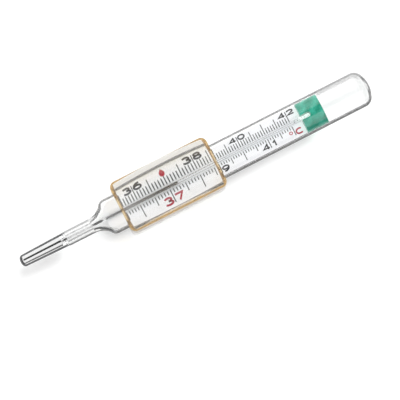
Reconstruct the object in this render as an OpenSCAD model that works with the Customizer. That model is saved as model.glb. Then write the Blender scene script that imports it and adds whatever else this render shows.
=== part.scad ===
// Clinical maximum thermometer with an enclosed scale and a slide-on reading magnifier.
// The stem lies along +X with the bulb at the -X end, +Z points up through the lens, and the
// flat underside of the magnifier stands on Z = 0. All sizes are in millimetres.

/* [Glass sheath] */
// Length from the bulb tip to the domed end
total_len = 128; // [120:1:140]
// Width of the oval stem
stem_width = 12.2; // [11.4:0.1:13.4]
// Thickness of the oval stem
stem_thickness = 8.6; // [8:0.1:9.6]
// Wall of the stem
sheath_wall = 0.8; // [0.6:0.05:1]
// Diameter of the round neck
neck_dia = 5.1; // [5:0.1:5.6]
// Length of the round neck
neck_len = 9.2; // [7:0.1:12]
// Length over which the round neck swells into the oval stem
shoulder_len = 6.9; // [6:0.1:9]
// Radius of the bend where the shoulder runs into the stem
shoulder_bend_r = 2.5; // [1.6:0.1:3.2]
// Corner radius of the domed end, seen from above
dome_corner_r = 3.4; // [2.4:0.1:4.2]
// Crown radius of the domed end, seen from above
dome_crown_r = 9; // [7.5:0.5:14]

/* [Bulb] */
// Length of the bulb
bulb_len = 16.1; // [13:0.1:19]
// Diameter of the bulb beside its tip
bulb_tip_dia = 4.1; // [3.6:0.1:4.4]
// Diameter of the bulb where it meets the collar
bulb_top_dia = 4.84; // [4.5:0.02:4.9]
// Wall of the bulb
bulb_wall = 0.35; // [0.25:0.05:0.5]
// Corner radius of the bulb tip
bulb_corner_r = 1.3; // [1.1:0.1:1.6]
// Crown radius of the bulb tip
bulb_crown_r = 3.2; // [2.6:0.1:5]
// Depth of the throat that takes the foot of the capillary
throat_len = 1.2; // [0.8:0.1:2]
// Length of the fused collar between bulb and neck
collar_len = 0.8; // [0.5:0.1:1.2]
// Diameter of the fused collar at the crown of its bead
collar_dia = 5; // [4.8:0.05:5]
// Radius of the bead on the collar
bead_r = 0.65; // [0.62:0.02:0.9]

/* [Capillary and liquid] */
// Outside diameter of the capillary
capillary_dia = 1.55; // [1.3:0.05:1.9]
// Bore of the capillary
bore_dia = 0.5; // [0.4:0.02:0.6]
// Bore at the constriction that breaks the column
constriction_dia = 0.16; // [0.1:0.02:0.24]
// Length of each cone that leads into the constriction
constriction_cone = 0.7; // [0.4:0.1:1]
// Distance of the constriction past the start of the shoulder
constriction_lead = 4.3; // [2:0.1:4.6]
// Diameter of the expansion chamber above the scale
chamber_dia = 0.8; // [0.7:0.05:1]
// Length of the expansion chamber
chamber_len = 1.2; // [0.8:0.1:1.6]
// Distance of the chamber past the highest mark
chamber_lead = 1.4; // [1:0.1:2]
// Length of the rounded head of the column
head_len = 0.9; // [0.6:0.1:1.4]

/* [Scale] */
// Lowest mark, in degrees Celsius
low_mark = 35.5; // [35:0.5:36]
// Highest mark, in degrees Celsius
high_mark = 42; // [41:0.5:42.5]
// Reading at rest, in degrees Celsius
reading = 37.3; // [36.2:0.1:41]
// Length of one degree on the scale
degree_len = 9; // [8.2:0.1:9.8]
// Distance of the lowest mark past the start of the stem
scale_lead = 7.7; // [5:0.1:9]
// Thickness of the scale plate
plate_thickness = 0.5; // [0.4:0.05:0.7]
// Distance that the plate reaches down into the shoulder
plate_lead = 2; // [1:0.1:2.4]
// Length over which the lower end of the plate widens to full width
plate_taper = 3; // [2.4:0.1:4]
// Width of an etched mark
mark_width = 0.28; // [0.16:0.02:0.34]
// Depth of an etched mark
mark_depth = 0.05; // [0.03:0.01:0.1]
// Distance of the upper row from the stem axis
upper_row_start = 0.65; // [0.5:0.05:0.9]
// Reach of a tenth in the upper row, measured from the stem axis
upper_reach_tenth = 2.75; // [2.2:0.05:3]
// Reach of a half degree in the upper row, measured from the stem axis
upper_reach_half = 4.1; // [3.2:0.05:4.3]
// Reach of a whole degree in the upper row, measured from the stem axis
upper_reach_whole = 4.6; // [4.3:0.05:4.7]
// Distance of the lower row from the stem axis
lower_row_start = 0.75; // [0.5:0.05:0.9]
// Reach of a tenth in the lower row, measured from the stem axis
lower_reach_tenth = 1.65; // [1.3:0.05:2]
// Reach of a half degree in the lower row, measured from the stem axis
lower_reach_half = 2.8; // [2.2:0.05:3.2]
// Reach of a whole degree in the lower row, measured from the stem axis
lower_reach_whole = 3.9; // [3.3:0.05:4.3]

/* [Stopper] */
// Length of the stopper that closes the scale space
stopper_len = 7.6; // [6:0.1:9]
// Distance of the stopper past the highest mark
stopper_lead = 3.8; // [3.2:0.1:5]
// Depth of the notch that seats the top of the capillary and the plate
notch_len = 3.3; // [2:0.1:4.5]

/* [Magnifier] */
// Length of the magnifier over its frame
magnifier_len = 35; // [30:0.5:38]
// Width of the magnifier over its frame
magnifier_width = 17.9; // [16.8:0.1:19]
// Corner radius of the magnifier, seen from above
magnifier_corner_r = 2.1; // [1.2:0.1:3]
// Wall of the frame and of the base
shell_wall = 0.6; // [0.55:0.05:1]
// Floor of the base
base_floor = 0.8; // [0.6:0.05:1.2]
// Mark under the middle of the lens at rest, in degrees Celsius
lens_mark = 37; // [36.8:0.1:39]
// Thickness of the lens at its middle
lens_thickness = 8.2; // [8:0.1:9.5]
// Radius of the lens crown along the stem
lens_long_r = 30; // [29:0.5:60]
// Radius of the lens crown across the stem
lens_cross_r = 22; // [19:0.5:28]
// Height of the rim that stands round the foot of the lens
rim_height = 1.4; // [1:0.1:2]
// Thickness of the two ledges that carry the ends of the lens
ledge_thickness = 0.6; // [0.4:0.05:1]
// Reach of each ledge under the lens
ledge_reach = 1.1; // [0.7:0.1:1.6]
// Height of the lap joint between frame and base
lap_depth = 0.9; // [0.6:0.1:1.4]
// Number of finger grooves on each long side of the base
groove_count = 9; // [5:2:13]
// Spacing of the finger grooves
groove_pitch = 1.6; // [1.3:0.1:2]
// Radius of a finger groove
groove_r = 0.5; // [0.4:0.05:0.6]
// Depth of a finger groove
groove_depth = 0.25; // [0.15:0.05:0.3]
// Length of a grip pad
pad_len = 5; // [3:0.1:7]
// Width of a grip pad
pad_width = 8; // [6:0.1:10]
// Thickness of a grip pad under the middle of the stem
pad_under = 0.4; // [0.3:0.05:0.8]
// Height of a grip pad at its sides
pad_height = 1.4; // [1.2:0.1:2]
// Distance of a grip pad from the end wall
pad_inset = 1; // [0.5:0.1:3]

/* [Clearances] */
// Play between the magnifier and the stem, all round
slide_gap = 0.05; // [0.03:0.01:0.1]
// Air between the stem and the ledges under the lens
ledge_gap = 0.15; // [0.1:0.05:0.4]
// Play round the lens and in the lap joint
seat_gap = 0.05; // [0.03:0.01:0.08]
// Film between the liquid and its glass
liquid_gap = 0.02; // [0.01:0.01:0.04]
// Play round the capillary in its seats
capillary_gap = 0.05; // [0.03:0.01:0.1]
// Play between the plate and the glass
plate_gap = 0.05; // [0.03:0.01:0.1]
// Play between the stopper and the glass
stopper_gap = 0.12; // [0.08:0.02:0.3]

/* [Hidden] */
$fn = 64;
oval_sides = 48;
swell_steps = 9;
dome_steps = 9;
// Overlap between shapes that are joined, and length by which a cut runs past a face
sliver = 0.05;
overcut = 1;
// Inset of the loft where it starts inside the neck, and width of the hollow's flat foot round the bore
loft_inset = 0.15;
hollow_step = 0.3;

// Half sizes of the stem, outside and inside
stem_half_w = stem_width / 2;
stem_half_t = stem_thickness / 2;
hollow_half_w = stem_half_w - sheath_wall;
hollow_half_t = stem_half_t - sheath_wall;
neck_r = neck_dia / 2;
capillary_r = capillary_dia / 2;
bore_r = bore_dia / 2;
thread_r = bore_r - liquid_gap;
seat_bore_r = capillary_r + capillary_gap;
hollow_foot_r = seat_bore_r + hollow_step;
hollow_bend_r = shoulder_bend_r - sheath_wall;
hollow_corner_r = dome_corner_r - sheath_wall;
hollow_crown_r = dome_crown_r - sheath_wall;

// Stations along the stem, measured from the bulb tip
neck_start = bulb_len + collar_len;
shoulder_start = neck_start + neck_len;
stem_start = shoulder_start + shoulder_len;
hollow_apex = total_len - sheath_wall;
throat_start = bulb_len - throat_len;
constriction_at = shoulder_start + constriction_lead;
scale_start = stem_start + scale_lead;
scale_end = mark_station(high_mark);
stopper_start = scale_end + stopper_lead;
notch_end = stopper_start + notch_len;
chamber_start = scale_end + chamber_lead;
capillary_end = notch_end - capillary_gap;
plate_start = stem_start - plate_lead;
plate_end = notch_end - plate_gap;
head_base = mark_station(reading) - head_len;
thread_start = constriction_at + constriction_cone;

// Heights of the stem axis, of the plate below it and of the lens above it
axis_z = base_floor + pad_under + slide_gap + stem_half_t;
plate_drop = capillary_r + plate_gap;
plate_foot = plate_drop + plate_thickness;
plate_half_w = chord(plate_foot, hollow_half_w, hollow_half_t) - plate_gap;
lens_bottom = axis_z + stem_half_t + slide_gap + ledge_gap + ledge_thickness;
rim_top = lens_bottom + rim_height;

// Station of a mark on the scale
function mark_station(degrees) = scale_start + (degrees - low_mark) * degree_len;

// Half width of an oval at a given distance from its middle
function chord(drop, half_w, half_t) = half_w * sqrt(1 - pow(drop / half_t, 2));

// Corners of an oval, in the plane of its two half sizes
function oval(half_w, half_t) =
    [
        for (i = [0 : oval_sides - 1])
            let (turn = 360 * i / oval_sides)
            [half_w * cos(turn), half_t * sin(turn)]
    ];

// Half size of the shoulder at distance d from its foot: a hollow arc that runs into a round one
function swell_half(d, foot, top, length, bend_r) =
    let (
        rise = top - foot,
        both_r = (length * length + rise * rise) / (2 * rise),
        flare_r = both_r - bend_r
    )
    d < length * flare_r / both_r
        ? foot + flare_r - sqrt(flare_r * flare_r - d * d)
        : top - bend_r + sqrt(bend_r * bend_r - pow(length - d, 2));

// Depth of a domed end, from its apex to where its corner arc meets the straight side
function dome_depth(half, corner_r, crown_r) =
    crown_r - sqrt(pow(crown_r - corner_r, 2) - pow(half - corner_r, 2));

// Half size of a domed end at distance d behind its apex
function dome_half(d, half, corner_r, crown_r) =
    let (
        depth = dome_depth(half, corner_r, crown_r),
        tangent = crown_r - (crown_r - depth) * crown_r / (crown_r - corner_r)
    )
    d < tangent
        ? sqrt(pow(crown_r, 2) - pow(crown_r - d, 2))
        : half - corner_r + sqrt(pow(corner_r, 2) - pow(depth - d, 2));

// Stations of the shoulder and of the domed end, with both half sizes of the oval at each
function shoulder_rings(foot, half_w, half_t, bend_r) = [
    for (i = [1 : swell_steps])
        let (d = shoulder_len * i / swell_steps)
        [
            shoulder_start + d,
            swell_half(d, foot, half_w, shoulder_len, bend_r),
            swell_half(d, foot, half_t, shoulder_len, bend_r)
        ]
];
function dome_rings(apex, half_w, half_t, corner_r, crown_r) =
    let (depth = dome_depth(half_w, corner_r, crown_r))
    [
        for (i = [0 : dome_steps - 1])
            let (
                d = depth * (1 - sin(90 * i / dome_steps)),
                half = dome_half(d, half_w, corner_r, crown_r)
            )
            [i < dome_steps - 1 ? apex - d : apex, half, half * half_t / half_w]
    ];

// Solid through a row of ovals, each given by its station and its two half sizes
module loft(rings) {
    last = len(rings) - 1;
    points = [
        for (ring = rings)
            for (p = oval(ring[1], ring[2]))
                [station_x(ring[0]), p[0], axis_z + p[1]]
    ];
    sides = [
        for (k = [0 : last - 1])
            for (i = [0 : oval_sides - 1])
                let (
                    a = k * oval_sides + i,
                    b = k * oval_sides + (i + 1) % oval_sides
                )
                for (face = [[a, a + oval_sides, b], [b, a + oval_sides, b + oval_sides]]) face
    ];
    foot = [for (i = [0 : oval_sides - 1]) i];
    top = [for (i = [oval_sides - 1 : -1 : 0]) last * oval_sides + i];
    polyhedron(points, concat([foot], sides, [top]));
}

// Place along X of a station measured from the bulb tip
function station_x(station) = station - total_len / 2;

// Turns a solid that rises along Z so that it runs along the stem from the given station
module on_axis(station) {
    translate([station_x(station), 0, axis_z]) rotate([0, 90, 0]) children();
}

// Oval bar along the stem
module oval_bar(from, to, half_w, half_t) {
    translate([station_x(from), 0, axis_z])
        rotate([90, 0, 90])
            linear_extrude(to - from)
                polygon(oval(half_w, half_t));
}

// Half outline of a domed end: its apex is at the origin and its straight side ends at the dome's depth
module dome_outline(half, corner_r, crown_r) {
    depth = dome_depth(half, corner_r, crown_r);
    intersection() {
        translate([0, crown_r]) circle(r = crown_r);
        square([(half - corner_r) * crown_r / (crown_r - corner_r), depth]);
    }
    intersection() {
        translate([half - corner_r, depth]) circle(r = corner_r);
        square([half, depth]);
    }
}

// Half outline of the bulb, drawn in by a given amount
module bulb_outline(inset, top) {
    tip_r = bulb_tip_dia / 2 - inset;
    corner_r = bulb_corner_r - inset;
    crown_r = bulb_crown_r - inset;
    depth = dome_depth(tip_r, corner_r, crown_r);
    translate([0, inset]) dome_outline(tip_r, corner_r, crown_r);
    polygon([
        [0, inset + depth - sliver],
        [tip_r, inset + depth - sliver],
        [tip_r, inset + depth],
        [bulb_top_dia / 2 - inset, top],
        [0, top]
    ]);
}

// Outline of the magnifier seen from above, drawn in by a given amount
module magnifier_outline(inset) {
    half_len = magnifier_len / 2 - inset;
    half_width = magnifier_width / 2 - inset;
    corner_r = magnifier_corner_r - inset;
    square([2 * half_len, 2 * (half_width - corner_r)], center = true);
    square([2 * (half_len - corner_r), 2 * half_width], center = true);
    for (x = [-1, 1])
        for (y = [-1, 1])
            translate([x * (half_len - corner_r), y * (half_width - corner_r)]) circle(r = corner_r);
}

// Slab with the magnifier's outline between two heights, placed where the lens stands at rest
module magnifier_slab(inset, bottom, top) {
    translate([station_x(mark_station(lens_mark)), 0, bottom])
        linear_extrude(top - bottom)
            magnifier_outline(inset);
}

// Room that the magnifier leaves for the stem
module stem_passage() {
    middle = mark_station(lens_mark);
    oval_bar(
        middle - magnifier_len / 2 - overcut,
        middle + magnifier_len / 2 + overcut,
        stem_half_w + slide_gap,
        stem_half_t + slide_gap
    );
}

// Outer envelope of clear glass: round neck, swelling shoulder, oval stem and domed end
module sheath() {
    neck_top = [shoulder_start - overcut, neck_r - loft_inset, neck_r - loft_inset];
    hollow_foot = [shoulder_start, hollow_foot_r, hollow_foot_r];
    color("lightcyan", 0.4)
        difference() {
            union() {
                on_axis(neck_start) cylinder(r = neck_r, h = neck_len);
                loft(concat(
                    [neck_top],
                    shoulder_rings(neck_r, stem_half_w, stem_half_t, shoulder_bend_r),
                    dome_rings(total_len, stem_half_w, stem_half_t, dome_corner_r, dome_crown_r)
                ));
            }
            on_axis(neck_start - overcut) cylinder(r = seat_bore_r, h = neck_len + 2 * overcut);
            loft(concat(
                [hollow_foot],
                shoulder_rings(hollow_foot_r, hollow_half_w, hollow_half_t, hollow_bend_r),
                dome_rings(hollow_apex, hollow_half_w, hollow_half_t, hollow_corner_r, hollow_crown_r)
            ));
        }
}

// Tapered glass reservoir, open at its throat
module bulb() {
    color("gainsboro", 0.6)
        on_axis(0)
            rotate_extrude()
                difference() {
                    bulb_outline(0, bulb_len);
                    bulb_outline(bulb_wall, throat_start);
                    translate([0, throat_start - sliver]) square([seat_bore_r, throat_len + overcut]);
                }
}

// Fused bead of glass that joins the bulb, the capillary and the neck
module bulb_collar() {
    bead_middle = collar_dia / 2 - bead_r;
    color("whitesmoke")
        on_axis(bulb_len)
            rotate_extrude()
                intersection() {
                    translate([seat_bore_r, 0]) square([collar_dia / 2 - seat_bore_r, collar_len]);
                    union() {
                        square([bead_middle, collar_len]);
                        translate([bead_middle, collar_len / 2]) circle(r = bead_r);
                    }
                }
}

// Half outline of the bore: plain, drawn in at the constriction, and widened at the chamber
module bore_outline() {
    narrow_r = constriction_dia / 2;
    chamber_r = chamber_dia / 2;
    chamber_end = chamber_start + chamber_len;
    polygon([
        [0, throat_start - overcut],
        [bore_r, throat_start - overcut],
        [bore_r, constriction_at - constriction_cone],
        [narrow_r, constriction_at],
        [bore_r, constriction_at + constriction_cone],
        [bore_r, chamber_start - chamber_r + bore_r],
        [chamber_r, chamber_start],
        [chamber_r, chamber_end - chamber_r / 2],
        [chamber_r / 2, chamber_end],
        [0, chamber_end]
    ]);
}

// Thick-walled measuring tube
module capillary() {
    color("azure", 0.5)
        on_axis(0)
            rotate_extrude()
                difference() {
                    union() {
                        translate([0, throat_start])
                            square([capillary_r, capillary_end - capillary_r - throat_start]);
                        intersection() {
                            translate([0, capillary_end - capillary_r]) circle(r = capillary_r);
                            translate([0, throat_start])
                                square([capillary_r, capillary_end - throat_start]);
                        }
                    }
                    bore_outline();
                }
}

// Silver liquid in the bulb, with the thread that runs up to the constriction
module bulb_liquid() {
    tip = constriction_at - liquid_gap;
    color("silver")
        on_axis(0)
            rotate_extrude() {
                bulb_outline(bulb_wall + liquid_gap, throat_start - liquid_gap);
                polygon([
                    [0, throat_start - overcut],
                    [thread_r, throat_start - overcut],
                    [thread_r, constriction_at - constriction_cone - liquid_gap],
                    [constriction_dia / 4, tip],
                    [0, tip]
                ]);
            }
}

// Measuring column from the constriction up to its head
module column_thread() {
    color("dimgray") on_axis(thread_start) cylinder(r = thread_r, h = head_base - thread_start);
}

// Rounded head of the column, whose top stands at the reading
module column_head() {
    color("dimgray")
        on_axis(head_base)
            rotate_extrude() {
                square([thread_r, head_len - thread_r]);
                intersection() {
                    translate([0, head_len - thread_r]) circle(r = thread_r);
                    square([thread_r, head_len]);
                }
            }
}

// One etched mark across the plate, between two distances from the stem axis
module mark(station, from, to) {
    translate([station_x(station) - mark_width / 2, from, axis_z - plate_drop - mark_depth])
        cube([mark_width, to - from, mark_depth + overcut]);
}

// White opal plate with two rows of etched marks and a tapered lower end
module scale_plate() {
    tenths = round((high_mark - low_mark) * 10);
    foot_d = shoulder_len - plate_lead;
    foot_hollow_w = swell_half(foot_d, hollow_foot_r, hollow_half_w, shoulder_len, hollow_bend_r);
    foot_hollow_t = swell_half(foot_d, hollow_foot_r, hollow_half_t, shoulder_len, hollow_bend_r);
    foot_half_w = chord(plate_foot, foot_hollow_w, foot_hollow_t) - 2 * plate_gap;
    color("ivory")
        difference() {
            translate([0, 0, axis_z - plate_foot])
                linear_extrude(plate_thickness)
                    polygon([
                        [station_x(plate_start), -foot_half_w],
                        [station_x(plate_start + plate_taper), -plate_half_w],
                        [station_x(plate_end), -plate_half_w],
                        [station_x(plate_end), plate_half_w],
                        [station_x(plate_start + plate_taper), plate_half_w],
                        [station_x(plate_start), foot_half_w]
                    ]);
            for (i = [0 : tenths]) {
                count = round(low_mark * 10) + i;
                whole = count % 10 == 0;
                half = count % 5 == 0;
                station = mark_station(count / 10);
                upper_reach = whole ? upper_reach_whole : half ? upper_reach_half : upper_reach_tenth;
                lower_reach = whole ? lower_reach_whole : half ? lower_reach_half : lower_reach_tenth;
                mark(station, upper_row_start, upper_reach);
                mark(station, -lower_reach, -lower_row_start);
            }
        }
}

// Green plug with a mouth that grips the plate and a notch for the top of the capillary
module stopper() {
    notch_half_w = capillary_r + capillary_gap;
    color("mediumseagreen", 0.8)
        difference() {
            oval_bar(
                stopper_start,
                stopper_start + stopper_len,
                hollow_half_w - stopper_gap,
                hollow_half_t - stopper_gap
            );
            translate([station_x(stopper_start - overcut), -stem_half_w, axis_z - plate_foot - plate_gap])
                cube([notch_len + overcut, stem_width, plate_thickness + 2 * plate_gap]);
            translate([station_x(stopper_start - overcut), -notch_half_w, axis_z - plate_foot])
                cube([notch_len - notch_half_w + overcut, 2 * notch_half_w, stem_thickness]);
            translate([station_x(notch_end - notch_half_w), 0, axis_z - plate_foot])
                cylinder(r = notch_half_w, h = stem_thickness);
        }
}

// Upper shell of amber plastic: thin walls, a rim round the lens and a ledge under each end of it
module magnifier_frame() {
    middle = station_x(mark_station(lens_mark));
    ledge_span = magnifier_len - 2 * (shell_wall + ledge_reach);
    color("goldenrod", 0.8)
        difference() {
            union() {
                difference() {
                    magnifier_slab(0, axis_z, rim_top);
                    magnifier_slab(shell_wall, axis_z - overcut, rim_top + overcut);
                }
                difference() {
                    magnifier_slab(shell_wall / 2 + seat_gap, axis_z - lap_depth, axis_z + sliver);
                    magnifier_slab(shell_wall, axis_z - lap_depth - overcut, axis_z + overcut);
                }
                difference() {
                    magnifier_slab(shell_wall - sliver, lens_bottom - ledge_thickness, lens_bottom);
                    translate([middle - ledge_span / 2, -magnifier_width, axis_z])
                        cube([ledge_span, 2 * magnifier_width, lens_bottom]);
                }
            }
            stem_passage();
        }
}

// Clear lens with a flat underside and a crown that curves more across the stem than along it
module magnifier_lens() {
    crown_top = lens_bottom + lens_thickness;
    core_r = lens_long_r - lens_cross_r;
    color("white", 0.3)
        intersection() {
            magnifier_slab(shell_wall + seat_gap, lens_bottom, crown_top);
            translate([station_x(mark_station(lens_mark)), 0, crown_top - lens_long_r])
                rotate([90, 0, 0])
                    rotate_extrude() {
                        translate([0, -lens_cross_r]) square([core_r, 2 * lens_cross_r]);
                        intersection() {
                            translate([core_r, 0]) circle(r = lens_cross_r);
                            translate([0, -lens_cross_r]) square([lens_long_r, 2 * lens_cross_r]);
                        }
                    }
        }
}

// Lower shell: a tray with a flat underside, finger grooves and a rebate for the frame
module magnifier_base() {
    middle = station_x(mark_station(lens_mark));
    groove_start = middle - (groove_count - 1) / 2 * groove_pitch;
    groove_y = magnifier_width / 2 + groove_r - groove_depth;
    groove_top = axis_z - lap_depth - groove_r;
    color("floralwhite", 0.8)
        difference() {
            magnifier_slab(0, 0, axis_z);
            magnifier_slab(shell_wall, base_floor, axis_z + overcut);
            magnifier_slab(shell_wall / 2, axis_z - lap_depth - seat_gap, axis_z + overcut);
            stem_passage();
            for (side = [-1, 1])
                for (i = [0 : groove_count - 1])
                    translate([groove_start + i * groove_pitch, side * groove_y, base_floor])
                        cylinder(r = groove_r, h = groove_top - base_floor);
        }
}

// Two soft pads in the base that hug the stem and hold the magnifier where it is put
module grip_pads() {
    middle = station_x(mark_station(lens_mark));
    pad_x = magnifier_len / 2 - shell_wall - pad_inset - pad_len / 2;
    color("burlywood")
        difference() {
            for (side = [-1, 1])
                translate([middle + side * pad_x - pad_len / 2, -pad_width / 2, base_floor])
                    cube([pad_len, pad_width, pad_height]);
            stem_passage();
        }
}

sheath();
bulb();
bulb_collar();
capillary();
bulb_liquid();
column_thread();
column_head();
scale_plate();
stopper();
magnifier_frame();
magnifier_lens();
magnifier_base();
grip_pads();
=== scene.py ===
"""Dresses a clinical thermometer that has an enclosed scale and a slide-on reading magnifier.

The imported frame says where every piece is. Lengths are in metres, so sizes that are written in
millimetres are multiplied by MM. Stations run along the stem from the bulb tip.
"""
import logging
import math
from abc import ABC, abstractmethod
from collections.abc import Iterable, Sequence
from dataclasses import dataclass, replace
from enum import Enum

import bmesh
import bpy
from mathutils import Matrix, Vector


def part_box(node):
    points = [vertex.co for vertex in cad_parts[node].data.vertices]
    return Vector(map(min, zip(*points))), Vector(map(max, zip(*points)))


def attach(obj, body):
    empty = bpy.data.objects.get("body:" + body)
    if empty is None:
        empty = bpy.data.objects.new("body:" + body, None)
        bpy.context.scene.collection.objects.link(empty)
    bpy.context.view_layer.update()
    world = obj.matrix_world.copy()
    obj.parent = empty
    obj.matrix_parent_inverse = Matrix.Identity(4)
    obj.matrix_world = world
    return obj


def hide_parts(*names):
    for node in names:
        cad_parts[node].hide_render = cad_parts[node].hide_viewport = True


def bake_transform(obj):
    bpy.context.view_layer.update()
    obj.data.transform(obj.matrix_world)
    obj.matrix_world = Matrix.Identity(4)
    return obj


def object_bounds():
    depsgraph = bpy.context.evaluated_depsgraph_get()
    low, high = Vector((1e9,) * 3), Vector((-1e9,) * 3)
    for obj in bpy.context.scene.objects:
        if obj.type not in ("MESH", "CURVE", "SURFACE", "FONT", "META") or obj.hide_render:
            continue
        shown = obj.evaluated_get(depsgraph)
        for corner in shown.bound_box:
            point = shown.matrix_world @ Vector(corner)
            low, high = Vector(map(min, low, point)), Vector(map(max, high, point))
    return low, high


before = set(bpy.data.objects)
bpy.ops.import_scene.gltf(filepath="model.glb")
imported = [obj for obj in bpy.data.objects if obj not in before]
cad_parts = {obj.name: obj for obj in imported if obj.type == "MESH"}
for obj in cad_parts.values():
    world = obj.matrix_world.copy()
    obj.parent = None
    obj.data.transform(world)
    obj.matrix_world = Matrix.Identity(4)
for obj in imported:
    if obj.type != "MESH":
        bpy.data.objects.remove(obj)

Colour = tuple[float, float, float]
Range = tuple[float, float]
Profile = list[tuple[float, float]]
Ring = list[Vector]
Socket = bpy.types.NodeSocket
Node = bpy.types.Node
Piece = bpy.types.Object

MM = 0.001
QUARTER = math.pi / 2
UNIT: Range = (0.0, 1.0)
WHITE: Colour = (1.0, 1.0, 1.0)
CAD_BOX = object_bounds()
LOG = logging.getLogger("thermometer")

# Range that nearly all values of a noise lie in
NOISE_BAND: Range = (0.3, 0.7)
# Angle above which an edge stays sharp
SHARP_ANGLE = math.radians(40.0)
# Distance below which points of a CAD mesh are one, and angle below which its faces are one
WELD = 1.0e-6
FLAT_ANGLE = math.radians(0.5)
ROUNDING_SEGMENTS = 2
# Overlap of liquid with its glass, and of fused glass, so that no gap shows between them
WETTING = 0.012 * MM
# Tenths in a half degree and in a whole one
HALF_DEGREE = 5
WHOLE_DEGREE = 10
# Steps in an arc of a numeral
PEN_ARC_STEPS = 28


class Body(Enum):
    """Bodies of the frame that pieces ride on."""

    STEM = "thermometer"
    COLUMN = "column"
    MAGNIFIER = "magnifier"


class Row(Enum):
    """Rows of the scale, as the side of the stem axis that they stand on."""

    UPPER = 1
    LOWER = -1


class NodeGraph:
    """Adds and links nodes in one tree."""

    def __init__(self, tree: bpy.types.NodeTree) -> None:
        """Keeps the tree that is filled."""
        self.tree = tree

    @classmethod
    def cleared(cls, owner: bpy.types.Material | bpy.types.World) -> "NodeGraph":
        """Turns on the nodes of a material or a world, and empties them.

        Args:
            owner: The material or the world.

        Returns:
            The graph of its tree.
        """
        owner.use_nodes = True
        owner.node_tree.nodes.clear()
        return cls(owner.node_tree)

    def add(self, kind: str, feeds: dict[str | int, object] | None = None, **settings: object) -> Node:
        """Adds a node.

        Args:
            kind: Blender's type name of the node.
            feeds: What goes into its inputs, by their names or places: an output or a plain value.
            settings: Properties of the node by name.

        Returns:
            The new node.
        """
        node = self.tree.nodes.new(kind)
        for key, value in settings.items():
            setattr(node, key, value)
        for key, value in (feeds or {}).items():
            self.feed(node.inputs[key], value)
        return node

    def feed(self, target: Socket, value: Socket | float | Sequence[float]) -> None:
        """Links an output to an input, or sets the input.

        Args:
            target: The input.
            value: The output, or a number, a vector or a colour.
        """
        if isinstance(value, Socket):
            self.tree.links.new(value, target)
        else:
            target.default_value = (*value, 1.0) if target.type == "RGBA" else value

    def math(self, operation: str, *values: Socket | float) -> Socket:
        """Adds a Math node on outputs or numbers and returns its output."""
        return self.add("ShaderNodeMath", dict(enumerate(values)), operation=operation).outputs[0]

    def parts(self, coordinate: str) -> dict[str, Socket]:
        """Splits an output of Texture Coordinate into X, Y and Z."""
        whole = self.add("ShaderNodeTexCoord").outputs[coordinate]
        return {out.name: out for out in self.add("ShaderNodeSeparateXYZ", {0: whole}).outputs}

    def attribute(self, name: str) -> Socket:
        """Reads an attribute of the piece's points."""
        return self.add("ShaderNodeAttribute", attribute_name=name).outputs["Fac"]

    def facing(self) -> Socket:
        """Gives how a surface is turned, from 0 where it is face-on to 1 where it is edge-on."""
        return self.add("ShaderNodeLayerWeight").outputs["Facing"]

    def noise(self, grain: float, stretch: float = 1.0, detail: float = 3.0) -> Socket:
        """Adds a noise on Object coordinates.

        Args:
            grain: Size of the pattern in metres.
            stretch: Factor by which the pattern is drawn out along the stem.
            detail: Octaves of the noise.

        Returns:
            The noise's value.
        """
        place = self.add("ShaderNodeTexCoord").outputs["Object"]
        scale = (1.0 / (grain * stretch), 1.0 / grain, 1.0 / grain)
        sized = self.add("ShaderNodeMapping", {"Vector": place, "Scale": scale}).outputs["Vector"]
        feeds = {"Vector": sized, "Scale": 1.0, "Detail": detail}
        return self.add("ShaderNodeTexNoise", feeds).outputs["Fac"]

    def spread(self, factor: Socket, source: Range, target: Range = UNIT) -> Socket:
        """Maps a range of values to another one, and clamps it.

        Args:
            factor: Output that gives the values.
            source: The range that they run through.
            target: The range that it becomes.

        Returns:
            The mapped value.
        """
        ends = dict(zip(("From Min", "From Max", "To Min", "To Max"), source + target))
        return self.add("ShaderNodeMapRange", {"Value": factor, **ends}).outputs["Result"]

    def between(self, noise: Socket, low: float, high: float) -> Socket:
        """Lets a noise run from one number to another."""
        return self.spread(noise, NOISE_BAND, (low, high))

    def ramp(self, factor: Socket, stops: Sequence[tuple[float, Colour]]) -> Socket:
        """Adds a ColorRamp.

        Args:
            factor: Output that runs along the ramp.
            stops: Places from 0 to 1 in rising order, with the colour at each.

        Returns:
            The colour.
        """
        node = self.add("ShaderNodeValToRGB", {"Fac": factor})
        elements = node.color_ramp.elements
        for i, (place, colour) in enumerate(stops):
            stop = elements[i] if i < len(elements) else elements.new(1.0)
            stop.position = place
            stop.color = (*colour, 1.0)
        return node.outputs["Color"]

    def mix(self, factor: Socket, first: Socket, second: Colour) -> Socket:
        """Mixes a colour with a plain one.

        Args:
            factor: Share of the plain colour.
            first: Output that gives the colour.
            second: The plain colour.

        Returns:
            The mixed colour.
        """
        node = self.add("ShaderNodeMix", data_type="RGBA")
        sockets = {socket.identifier: socket for socket in node.inputs}
        for key, value in (("Factor_Float", factor), ("A_Color", first), ("B_Color", second)):
            self.feed(sockets[key], value)
        return next(socket for socket in node.outputs if socket.identifier == "Result_Color")

    def bump(self, height: Socket, depth: float) -> Socket:
        """Gives the normal of a surface that a height pattern from 0 to 1 raises by a depth."""
        return self.add("ShaderNodeBump", {"Height": height, "Distance": depth}).outputs["Normal"]


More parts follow.
